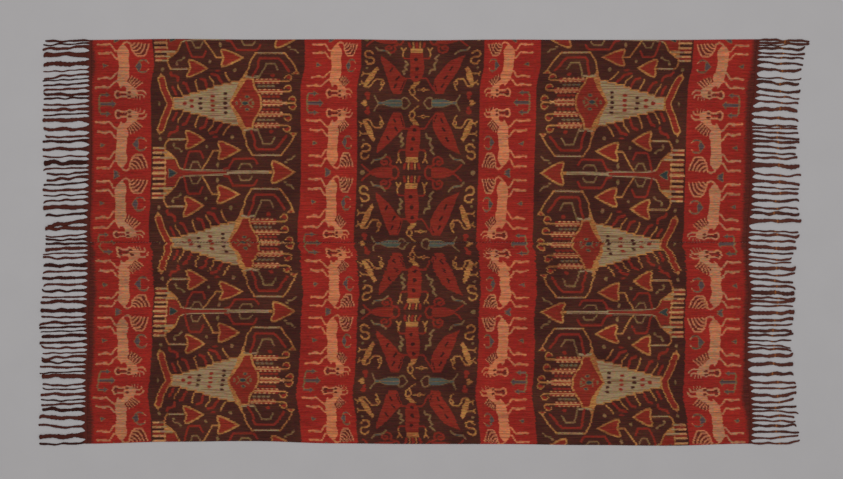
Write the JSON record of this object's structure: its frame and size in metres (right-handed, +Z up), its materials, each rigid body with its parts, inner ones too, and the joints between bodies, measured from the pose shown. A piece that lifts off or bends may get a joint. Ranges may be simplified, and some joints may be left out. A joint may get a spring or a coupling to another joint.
{
  "type": "ikat woven cloth",
  "caption": "Rectangular warp ikat mantle of sewn panels, laid flat and face up, with bands of dyed animal and tree motifs and a twisted warp fringe at both ends.",
  "frame": {"origin": "middle of the underside of the cloth, fringes included, on the surface that it lies on", "axes": "+X along the warp towards the longer fringe, +Y across the warp towards the upper selvedge, +Z up through the face"},
  "size_m": [2.313, 1.2212, 0.006],
  "materials": {
    "ikat_weave": "matt handspun cotton, warp faced, dyed before weaving",
    "fringe_yarn": "matt twisted cotton warp ends, dark red brown"
  },
  "bodies": {
    "root": {"panel_upper": "ikat_weave", "panel_lower": "ikat_weave", "fringe_upper_left": "fringe_yarn", "fringe_upper_right": "fringe_yarn", "fringe_lower_left": "fringe_yarn", "fringe_lower_right": "fringe_yarn"}
  },
  "joints": []
}
